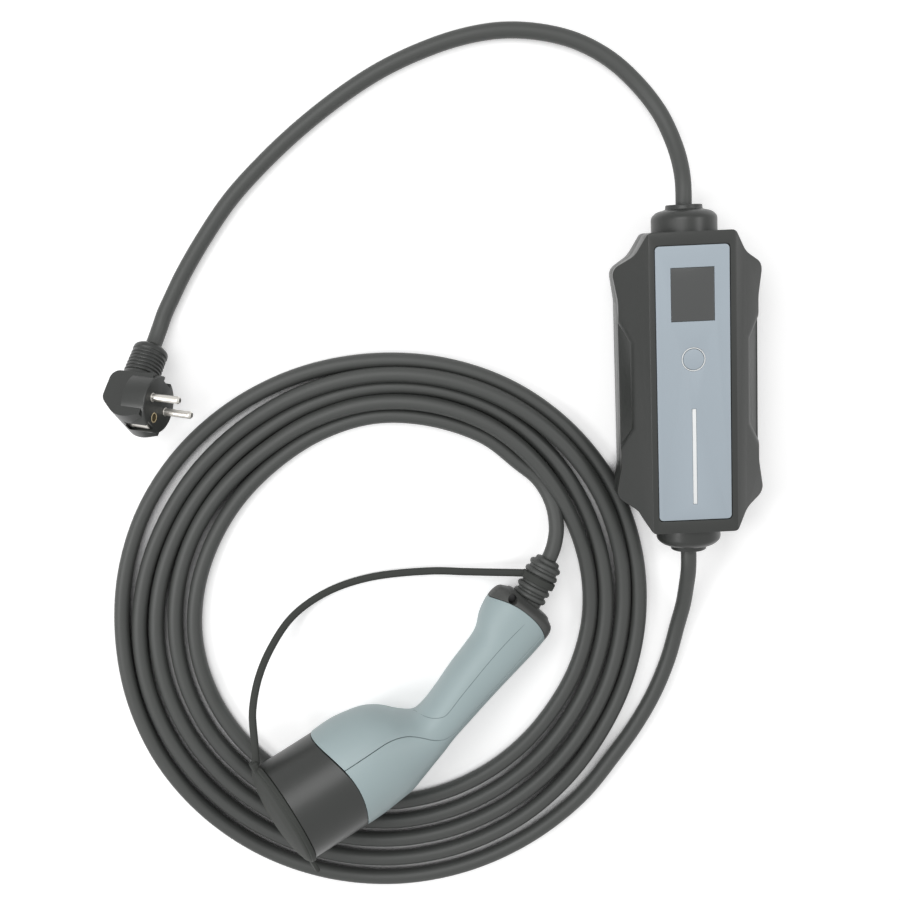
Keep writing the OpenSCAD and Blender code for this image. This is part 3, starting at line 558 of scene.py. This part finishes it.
gland = {
    "from": 92.5, "height": 26,
    "shape": [(0, 0), (20.5, 0), (20.5, 10.2), (17.2, 13.3), (11.6, 14.7), (11.3, 17.5), (5.2, 17.5)],
    "rounds": [0, 0, 1.8, 1.8, 0.5, 0.8, 0],
}
glandShape = roundProfile(gland["shape"], gland["rounds"])
for name, end, node in (("mainsGland", 1, "gland_in"), ("outputGland", -1, "gland_out")):
    place = axisPlace((0, end * gland["from"] * mm, gland["height"] * mm), (0, end, 0), (1, 0, 0))
    finishPiece(name, turnedSolid(glandShape, place), "black", [node], angle=40)
print("box dressed")


# rows of ribs by geometry nodes
def nodeTree(name, inputs):
    tree = bpy.data.node_groups.new(name, "GeometryNodeTree")
    tree.interface.new_socket("Geometry", in_out="INPUT", socket_type="NodeSocketGeometry")
    for label, kind in inputs:
        tree.interface.new_socket(label, in_out="INPUT", socket_type=kind)
    tree.interface.new_socket("Geometry", in_out="OUTPUT", socket_type="NodeSocketGeometry")
    return tree, tree.nodes.new("NodeGroupInput"), tree.nodes.new("NodeGroupOutput")


def treeNode(tree, kind, settings=None, **links):
    made = tree.nodes.new(kind)
    for key, value in (settings or {}).items():
        setattr(made, key, value)
    for key, value in links.items():
        socket = made.inputs[key.replace("_", " ")]
        if hasattr(value, "is_output"):
            tree.links.new(value, socket)
        else:
            socket.default_value = value
    return made


ribTree, ribIn, ribOut = nodeTree("ribRow", [
    ("Count", "NodeSocketInt"), ("Pitch", "NodeSocketFloat"), ("Radius", "NodeSocketFloat"),
    ("Taper", "NodeSocketFloat"), ("Thickness", "NodeSocketFloat"), ("Material", "NodeSocketMaterial")])
ribStep = treeNode(ribTree, "ShaderNodeCombineXYZ", Z=ribIn.outputs["Pitch"])
ribLine = treeNode(ribTree, "GeometryNodeMeshLine", Count=ribIn.outputs["Count"], Offset=ribStep.outputs[0])
ribLoop = treeNode(ribTree, "GeometryNodeCurvePrimitiveCircle", Resolution=56, Radius=ribIn.outputs["Radius"])
ribBead = treeNode(ribTree, "GeometryNodeCurvePrimitiveCircle", Resolution=14,
                   Radius=ribIn.outputs["Thickness"])
ribRing = treeNode(ribTree, "GeometryNodeCurveToMesh", Curve=ribLoop.outputs["Curve"],
                   Profile_Curve=ribBead.outputs["Curve"])
ribOrder = treeNode(ribTree, "GeometryNodeInputIndex")
ribShrink = treeNode(ribTree, "ShaderNodeMath", {"operation": "MULTIPLY"})
ribTree.links.new(ribOrder.outputs[0], ribShrink.inputs[0])
ribTree.links.new(ribIn.outputs["Taper"], ribShrink.inputs[1])
ribShare = treeNode(ribTree, "ShaderNodeMath", {"operation": "SUBTRACT"})
ribShare.inputs[0].default_value = 1
ribTree.links.new(ribShrink.outputs[0], ribShare.inputs[1])
ribScale = treeNode(ribTree, "ShaderNodeCombineXYZ", X=ribShare.outputs[0], Y=ribShare.outputs[0], Z=1.0)
ribSet = treeNode(ribTree, "GeometryNodeInstanceOnPoints", Points=ribLine.outputs["Mesh"],
                  Instance=ribRing.outputs["Mesh"], Scale=ribScale.outputs[0])
ribReal = treeNode(ribTree, "GeometryNodeRealizeInstances", Geometry=ribSet.outputs["Instances"])
ribDone = treeNode(ribTree, "GeometryNodeSetMaterial", Geometry=ribReal.outputs["Geometry"],
                   Material=ribIn.outputs["Material"])
ribTree.links.new(ribDone.outputs["Geometry"], ribOut.inputs["Geometry"])


def growMesh(name, tree, values):
    start = bpy.data.meshes.new(name + "Seed")
    start.from_pydata([(0, 0, 0)], [], [])
    host = bpy.data.objects.new(name + "Seed", start)
    scene.collection.objects.link(host)
    grow = host.modifiers.new("grow", "NODES")
    grow.node_group = tree
    for item in tree.interface.items_tree:
        if item.in_out == "INPUT" and item.name in values:
            grow[item.identifier] = values[item.name]
    depsgraph = bpy.context.evaluated_depsgraph_get()
    made = bpy.data.meshes.new_from_object(host.evaluated_get(depsgraph))
    made.name = name
    host.modifiers.remove(grow)
    bpy.data.objects.remove(host)
    return made


def ribRow(name, place, count, pitch, radius, taper, thickness, look):
    mesh = growMesh(name, ribTree, {
        "Count": count, "Pitch": pitch * mm, "Radius": radius * mm, "Taper": taper,
        "Thickness": thickness * mm, "Material": looks[look]})
    mesh.transform(place)
    return dressMesh(name, mesh, look, angle=60)


# mains plug
def turnMatrix(degrees):
    x, y, z = [math.radians(d) for d in degrees]
    return Matrix.Rotation(z, 4, "Z") @ Matrix.Rotation(y, 4, "Y") @ Matrix.Rotation(x, 4, "X")


plug = {
    "at": (-333.2, 1.3, 40), "turn": (-35, -18, -7), "halfWidth": 14.5,
    "outline": [(-2, -15), (-12, -18), (-20, -16.6), (-31.5, -7), (-31.5, 10), (-28, 13.5), (-9, 13.5),
                (-2, 15), (-2, -15)],
    "rounds": [0, 4, 5, 4, 4, 3, 2, 0, 0],
    "face": [(0.01, -16), (18.2, -16), (18.2, 0), (0.01, 0)], "faceRounds": [0, 0, 1.0, 0],
    "notchAt": (-7, 17.2), "notchSize": (18, 5.2, 9),
    "holeAt": (-8, -9.5, 0), "hole": [(3.3, 0), (3.3, 12)],
    "lining": [(3.25, 0.2), (3.25, 7.9), (2.9, 8.1), (2.5, 7.9), (2.5, 0.2)],
}
plugPlace = Matrix.Translation(Vector(plug["at"]) * mm) @ turnMatrix(plug["turn"])
plugHole = plugPlace @ axisPlace(Vector(plug["holeAt"]) * mm, (1, 0, 0), (0, 1, 0))
plugFace = plugPlace @ axisPlace((0, 0, 0), (1, 0, 0), (0, 1, 0))
plugDisc = turnedSolid(roundProfile(plug["face"], plug["faceRounds"]), plugFace, 72)
plugOutline = roundProfile(plug["outline"], plug["rounds"], 5)[:-1]
plugBlock = bmesh.new()
sheets = [[plugBlock.verts.new(plugPlace @ (Vector((x, y, z)) * mm)) for x, y in plugOutline]
          for z in (-plug["halfWidth"], plug["halfWidth"])]
for k in range(len(plugOutline)):
    n = (k + 1) % len(plugOutline)
    plugBlock.faces.new((sheets[0][k], sheets[0][n], sheets[1][n], sheets[1][k]))
for sheet in sheets:
    plugBlock.faces.new(sheet)


def earthNotch(side):
    bm = bmesh.new()
    bmesh.ops.create_cube(bm, size=1)
    (x, y), (length, depth, width) = plug["notchAt"], plug["notchSize"]
    for v in bm.verts:
        v.co = plugPlace @ (Vector((x + length * v.co.x, side * y + depth * v.co.y, width * v.co.z)) * mm)
    return bm


def withNotches(bm):
    for side in (1, -1):
        bm = carved(bm, earthNotch(side))
    return bm


plugDisc = carved(withNotches(plugDisc), turnedSolid(plug["hole"], plugHole, 32))
plugBody = finishPiece("plugBody", withNotches(plugBlock), "black", ["plug_body"], bevel=1.3,
                       segments=4, limit=40)
plugRound = finishPiece("plugFace", plugDisc, "black", bevel=0.4, limit=50)

plugSleeve = {
    "at": (-20, 0, 0), "ribFrom": 19.4, "ribs": 6, "pitch": 2.5, "radius": 10.7, "taper": 0.004, "bead": 0.85,
    "shape": [(0, 6), (12.4, 6), (11.6, 17), (10.8, 18.4), (10.6, 34), (11.4, 34.6), (11.2, 37.6),
              (7.1, 40.4), (5.0, 40.4)],
    "rounds": [0, 0, 1.5, 0.6, 0.3, 0.5, 1.2, 0.8, 0],
}
sleevePlace = plugPlace @ axisPlace(Vector(plugSleeve["at"]) * mm, (0, 1, 0), (1, 0, 0))
sleeveShape = roundProfile(plugSleeve["shape"], plugSleeve["rounds"])
plugBoot = finishPiece("plugBoot", turnedSolid(sleeveShape, sleevePlace, 56), "black",
                       angle=50)
plugRibs = ribRow("plugRibs", sleevePlace @ Matrix.Translation((0, 0, plugSleeve["ribFrom"] * mm)),
                  plugSleeve["ribs"], plugSleeve["pitch"], plugSleeve["radius"], plugSleeve["taper"],
                  plugSleeve["bead"], "black")
plugPins = finishPiece("plugPins", solidCopy("plug_pins"), "steel", ["plug_pins"], bevel=0.3)
plugClips = finishPiece("plugClips", solidCopy("plug_earth"), "steel", ["plug_earth"],
                        bevel=0.3)
plugLining = finishPiece("plugLining", turnedRing(plug["lining"], plugHole, 32), "brass",
                         angle=50)
print("plug dressed")


# vehicle connector
gun = {
    "at": (-235, -251, 42), "turn": (0, 8, 28.5), "wall": 2.2, "gap": 0.14, "noseRadius": 35.2,
    "noseEdge": 57.63, "collarEdge": 27.77, "gripEnd": (154.6, 28.2), "gripTurn": 18.9, "noseLength": 41,
    "mouthSlant": 3, "mouthTilt": 17, "square": 0.3, "noseWall": 6.2, "edgeGap": 0.15,
    # middle x, y, half width, half thickness, turn
    "stations": [
        (-6, 0, 35.2, 35.2, 0), (14, 0.8, 35.6, 35, 0), (27, 0.7, 34, 33.8, 0), (38, 0, 31.8, 31.4, 0),
        (48, -1.2, 27.1, 28.2, 1), (57, -3.7, 21.2, 25, 3), (66, -4.9, 16.7, 22.2, 6),
        (76, -2.3, 15.4, 20.2, 11), (90.3, 2.4, 16, 19, 17), (106.6, 8.3, 17.3, 18.5, 18),
        (121.7, 13.2, 18.2, 18.5, 18.4), (134, 17.6, 19.4, 18.8, 18.6), (144, 23.4, 22.6, 19.2, 18.8),
        (154.6, 28.2, 24, 19.5, 18.9), (160.5, 30.2, 23.6, 19.2, 18.9), (164, 31.4, 21.8, 17.6, 18.9),
        (166.3, 32.2, 17.5, 14.5, 18.9)],
    "seam": [
        (-60, 12.6), (13.3, 12.5), (26.5, 12.4), (38.8, 11.9), (43.5, 11.2), (48.7, 9.6), (54.5, 6.6),
        (58.5, 3.4), (62.6, -0.7), (66.2, -4.7), (70.1, -8.1), (74, -10.4), (78.9, -11.5), (85.7, -10.3),
        (98.2, -6.7), (117, -1), (136.9, 4.9), (148.6, 8.2), (162, 11.6), (180, 16)],
    "gripLine": [
        (64.6, 12), (67.5, 10.7), (70.6, 8.3), (74, 5.9), (77.7, 4.1), (81, 3.2), (84.5, 3.7), (91, 6),
        (98.6, 8.8), (109.1, 12.4), (123, 17.2), (136.9, 21.6), (147.6, 24.5), (156.5, 26.6)],
}
gunPlace = Matrix.Translation(Vector(gun["at"]) * mm) @ turnMatrix(gun["turn"])
gripWay = Vector((math.cos(math.radians(gun["gripTurn"])), math.sin(math.radians(gun["gripTurn"])), 0))


def gunPoint(x, y, z):
    return gunPlace @ (Vector((x, y, z)) * mm)


def signedPower(value, power):
    return math.copysign(abs(value) ** power, value)


def gunSection(station):
    y, w, h, turn = [curveValue(gun["stations"], station, c) for c in (1, 2, 3, 4)]
    square = 2 + gun["square"] * min(1, max(0, (station - 20) / 60))
    return y, w, h, math.radians(turn), square


def gunSkin(station, angle, inset=0):
    y, w, h, turn, square = gunSection(station)
    c = signedPower(math.cos(angle), 2 / square) * (w - inset)
    z = signedPower(math.sin(angle), 2 / square) * (h - inset)
    return Vector((station - math.sin(turn) * c, y + math.cos(turn) * c, z))


def seamAngle(station):
    y, w, h, turn, square = gunSection(station)
    lo, hi = -1.0, 1.0
    for step in range(30):
        c = (lo + hi) / 2
        if y + math.cos(turn) * w * c > curveValue(gun["seam"], station - math.sin(turn) * w * c, 1):
            hi = c
        else:
            lo = c
    return math.acos(signedPower(max(-1, min(1, c)), square / 2))


def noseEdge(z):
    r = gun["noseEdge"]
    return r - math.sqrt(r * r - z * z)


def pastCollar(p):
    dx, dy = p.x - gun["gripEnd"][0], p.y - gun["gripEnd"][1]
    r = gun["collarEdge"]
    return dx * gripWay.x + dy * gripWay.y - (r - math.sqrt(max(0, r * r - p.z * p.z)))


def solveStation(lo, hi, test):
    for step in range(26):
        mid = (lo + hi) / 2
        if test(mid) > 0:
            hi = mid
        else:
            lo = mid
    return (lo + hi) / 2


def shellAngle(station, s, upper):
    edge = seamAngle(station)
    back = gun["gap"] / max(8, gunSection(station)[1])
    return s * (edge - back) if upper else math.pi + s * (math.pi - edge - back)


def gunShell(name, upper, across, along, stands):
    outer, inner = [], []
    spans = []
    for j in range(across + 1):
        s = 2 * j / across - 1

        def beforeNose(station):
            p = gunSkin(station, shellAngle(station, s, upper))
            return p.x - noseEdge(p.z) - gun["edgeGap"]

        def beforeCollar(station):
            return pastCollar(gunSkin(station, shellAngle(station, s, upper))) + gun["edgeGap"]
        spans.append((s, solveStation(-6, 30, beforeNose), solveStation(130, 166, beforeCollar)))
    for i in range(along + 1):
        u = i / along
        rowOut, rowIn = [], []
        for s, first, last in spans:
            station = first + (last - first) * u
            angle = shellAngle(station, s, upper)
            rowOut.append(gunPoint(*gunSkin(station, angle)))
            rowIn.append(gunPoint(*gunSkin(station, angle, gun["wall"])))
        outer.append(rowOut)
        inner.append(rowIn)
    bm = bmesh.new()
    a = addGrid(bm, outer)
    b = addGrid(bm, inner, flip=True)
    for rim in ([r[0] for r in a], [r[0] for r in b]), ([r[-1] for r in a], [r[-1] for r in b]), \
            (a[0], b[0]), (a[-1], b[-1]):
        for k in range(len(rim[0]) - 1):
            bm.faces.new((rim[0][k], rim[0][k + 1], rim[1][k + 1], rim[1][k]))
    return finishPiece(name, bm, "shellGrey", stands, bevel=0.45, segments=3, limit=50)


gunShell("gunShell", True, 56, 100, ["gun_shell"])
gunShell("gunUnderside", False, 44, 100, ["gun_underside"])


# fine moulded line round the grip: a thin dark ribbon laid on the upper skin, painted shade in place of the
# groove
def skinAt(x, y):
    station = x
    for step in range(24):
        middle, w, h, turn, square = gunSection(station)
        off = (y - middle) / math.cos(turn)
        station = x + math.sin(turn) * off
    share = min(1, abs(off) / w)
    return Vector((x, y, h * (1 - share ** square) ** (1 / square)))


def gripRibbon(width, rise):
    line = [skinAt(p.x, p.y) for p in smoothRoute([(x, y, 0) for x, y in gun["gripLine"]], 1.2)]
    rows = []
    for i, p in enumerate(line):
        way = (line[min(i + 1, len(line) - 1)] - line[max(i - 1, 0)]).normalized()
        dx, dy = [skinAt(p.x + ex, p.y + ey) - skinAt(p.x - ex, p.y - ey)
                  for ex, ey in ((0.3, 0), (0, 0.3))]
        normal = dx.cross(dy).normalized()
        side = normal.cross(way).normalized()
        thin = width * min(1, 0.25 + i / 10, 0.25 + (len(line) - 1 - i) / 10) / 2
        rows.append([gunPoint(*(p + side * thin * e + normal * h))
                     for e, h in ((-1, -0.1), (-0.7, rise), (0.7, rise), (1, -0.1))])
    bm = bmesh.new()
    verts = addGrid(bm, rows, around=True)
    bm.faces.new(verts[0])
    bm.faces.new(verts[-1])
    return bm


finishPiece("gripLine", gripRibbon(0.5, 0.03), "groove", angle=60)


# black nose: outer skin from the shells' curved edge to the slanted mouth, and the socket inside it
def noseRing(r, share, back=0.0):
    slant = math.tan(math.radians(gun["mouthSlant"]))
    tilt = math.tan(math.radians(gun["mouthTilt"])) / math.cos(math.radians(gun["mouthSlant"]))
    ring = []
    for k in range(96):
        a = 2 * math.pi * k / 96
        y, z = r * math.cos(a), r * math.sin(a)
        mouth = -gun["noseLength"] + slant * y + tilt * z
        edge = noseEdge(min(abs(z) * gun["noseRadius"] / r, gun["noseRadius"])) - back
        ring.append(gunPoint(mouth + (edge - mouth) * share, y, z))
    return ring


noseOut, noseIn = gun["noseRadius"] - 0.1, gun["noseRadius"] - gun["noseWall"]
noseBm = bmesh.new()
noseRows = [noseRing(noseOut, 1, gun["edgeGap"])]
noseRows += [noseRing(noseOut, share) for share in (0.75, 0.5, 0.25, 0)]
noseRows += [noseRing(noseIn, share) for share in (0, 0.5)]
noseRows += [noseRing(noseIn, 1, gun["edgeGap"])]
addGrid(noseBm, noseRows, around=True, loop=True)
finishPiece("noseHousing", noseBm, "black", ["nose_housing"], bevel=0.7, limit=40)

# tail collar, closed at both ends
collar = {
    "shares": (0, 0.2, 0.4, 0.55, 0.7, 0.8, 0.88, 0.94, 0.98, 1), "sides": 72,
    "rounding": ((0.95, 0.9), (0.84, 1.4), (0.6, 1.6)),   # share of the last ring, and how far past it
    "holeAt": (158.5, 43.5, 6), "hole": [(3.1, 0), (3.1, 24)],
}
tail = Vector((*gun["stations"][-1][:2], 0))
collarAngles = [2 * math.pi * k / collar["sides"] for k in range(collar["sides"])]


def collarStart(angle):
    return solveStation(130, 166, lambda station: pastCollar(gunSkin(station, angle)) - gun["edgeGap"])


collarFirst = [collarStart(a) for a in collarAngles]
collarRows = [[gunPoint(*gunSkin(first + (tail.x - first) * share, a))
               for a, first in zip(collarAngles, collarFirst)] for share in collar["shares"]]
for shrink, past in collar["rounding"]:
    collarRows.append([gunPoint(*(tail + (gunSkin(tail.x, a) - tail) * shrink + gripWay * past))
                       for a in collarAngles])
collarBm = bmesh.new()
collarVerts = addGrid(collarBm, collarRows, around=True)
capEnd(collarBm, collarVerts[0])
capEnd(collarBm, collarVerts[-1])
holeTool = turnedSolid(collar["hole"], gunPlace @ Matrix.Translation(Vector(collar["holeAt"]) * mm), 32)
finishPiece("tailCollar", carved(collarBm, holeTool), "collar", ["tail_collar"], bevel=0.4,
            limit=55)

# ribbed boot
boot = {
    "start": 7.5, "turn": 31, "radius": 11.5, "plain": 7.6, "pitch": 5.48, "bead": 2.1,
    "core": [(0, -4), (9.4, -4), (9.6, 8), (9.6, 33), (8.4, 34.2), (8.2, 36.2), (6.4, 37), (5.0, 37)],
    "rounds": [0, 0, 0.5, 0.8, 0.6, 0.8, 0.5, 0],
}
bootAt = Vector((*gun["gripEnd"], 0)) + gripWay * boot["start"]
bootWay = (math.cos(math.radians(boot["turn"])), math.sin(math.radians(boot["turn"])), 0)
bootPlace = gunPlace @ axisPlace(bootAt * mm, bootWay, (0, 0, 1))
bootCore = roundProfile(boot["core"], boot["rounds"])
finishPiece("cableBoot", turnedSolid(bootCore, bootPlace, 56), "sheath", ["cable_boot"],
            angle=50)
# the strap's ring sits between the two pairs of ribs
for name, first, taper in (("bootRibsLow", 0, 0.0), ("bootRibsHigh", 3, 0.05)):
    ribAt = boot["plain"] + first * boot["pitch"] + boot["bead"]
    ribRow(name, bootPlace @ Matrix.Translation((0, 0, ribAt * mm)), 2, boot["pitch"],
           boot["radius"] - boot["bead"], taper, boot["bead"], "sheath")

# collar screw down in its hole
finishPiece("collarScrew", solidCopy("collar_screw"), "blackened", ["collar_screw"],
            bevel=0.2)

# dust cap, its tab and the tether
capPlace = gunPlace @ Matrix.Translation((-gun["noseLength"] * mm, 0, 0)) \
    @ turnMatrix((0, gun["mouthTilt"], -gun["mouthSlant"]))
capSpin = capPlace @ axisPlace((0, 0, 0), (-1, 0, 0), (0, 1, 0))
cap = {
    "shape": [(0, 0.2), (35.6, 0.2), (36.6, 0.2), (36.6, 3.0), (35.4, 3.3), (35.2, 4.1), (33.5, 5.3),
              (25, 7.7), (12, 9.5), (0.01, 10)],
    "rounds": [0, 0, 0.8, 0.7, 0.2, 0.4, 2, 3, 3, 0],
    "tab": ((-3, -45.6, -4.5), (-0.3, -33, 4.5)), "lug": ((-5, 31.6, -4.5), (-0.2, 40.6, 4.5)),
}
capShape = roundProfile(cap["shape"], cap["rounds"])
finishPiece("dustCap", turnedSolid(capShape, capSpin, 96), "rubber", ["dust_cap"], angle=50)


def capBlock(name, corners, bevel):
    bm = bmesh.new()
    bmesh.ops.create_cube(bm, size=1)
    for v in bm.verts:
        v.co = capPlace @ (Vector([lo + (hi - lo) * (c + 0.5) for lo, hi, c in zip(*corners, v.co)]) * mm)
    return finishPiece(name, bm, "rubber", bevel=bevel, segments=4)


capBlock("capTab", cap["tab"], 1.1)
capBlock("capLug", cap["lug"], 1.6)

strap = {"halfWidth": 2.5, "halfThickness": 1.7, "corner": 0.7, "sides": 16, "step": 4}
strapRoute = [
    (-40, 38, 0.3), (-37, 43.5, 0), (-33.4, 50.5, -1.2), (-29.5, 58.5, -3), (-24.5, 67.5, -6),
    (-11.8, 81.7, -13.8), (5, 93.3, -22.5), (27.5, 102.7, -28.6), (54, 104.4, -30.6), (84, 98.4, -27.4),
    (122.5, 81, -20.4), (142, 69.5, -13.5), (157, 61, -6.5), (167, 55.4, -1.8), (174.4, 50.8, 0)]
strapPath = [gunPoint(*p) for p in smoothRoute(strapRoute, strap["step"])]
strapBm = bmesh.new()
strapRows = []
for i, p in enumerate(strapPath):
    way = (strapPath[min(i + 1, len(strapPath) - 1)] - strapPath[max(i - 1, 0)]).normalized()
    side = Vector((0, 0, 1)).cross(way).normalized()
    up = way.cross(side)
    ring = []
    for k in range(strap["sides"]):
        a = 2 * math.pi * k / strap["sides"]
        across = signedPower(math.cos(a), strap["corner"]) * strap["halfWidth"]
        rise = signedPower(math.sin(a), strap["corner"]) * strap["halfThickness"]
        ring.append(p + side * across * mm + up * rise * mm)
    strapRows.append(ring)
strapVerts = addGrid(strapBm, strapRows, around=True)
capEnd(strapBm, strapVerts[0])
capEnd(strapBm, strapVerts[-1])
finishPiece("capStrap", strapBm, "rubber", ["cap_strap"], angle=50)
strapRing = {
    "at": 18.86, "rounds": [0, 0.9, 0.9, 0, 0],
    "shape": [(9.65, 0), (11.85, 0), (11.85, 4.88), (9.65, 4.88), (9.65, 0)],
}
ringShape = roundProfile(strapRing["shape"], strapRing["rounds"])[:-1]
ringPlace = bootPlace @ Matrix.Translation((0, 0, strapRing["at"] * mm))
finishPiece("strapRing", turnedRing(ringShape, ringPlace, 56), "rubber", angle=50)
print("connector dressed")


# inner pieces keep their solids and get a finish
inner = {
    "shell_seal": "rubber", "display_board": "board", "main_board": "board", "display_module": "dark",
    "button_switch": "dark", "relays": "dark", "current_sensor": "dark", "power_module": "dark",
    "terminal_blocks": "dark", "board_screws": "steel", "shell_screws": "steel", "contact_insert": "dark",
    "contacts": "steel"}
for nodeName, look in inner.items():
    nodes[nodeName].data.materials.clear()
    nodes[nodeName].data.materials.append(looks[look])

print("done")
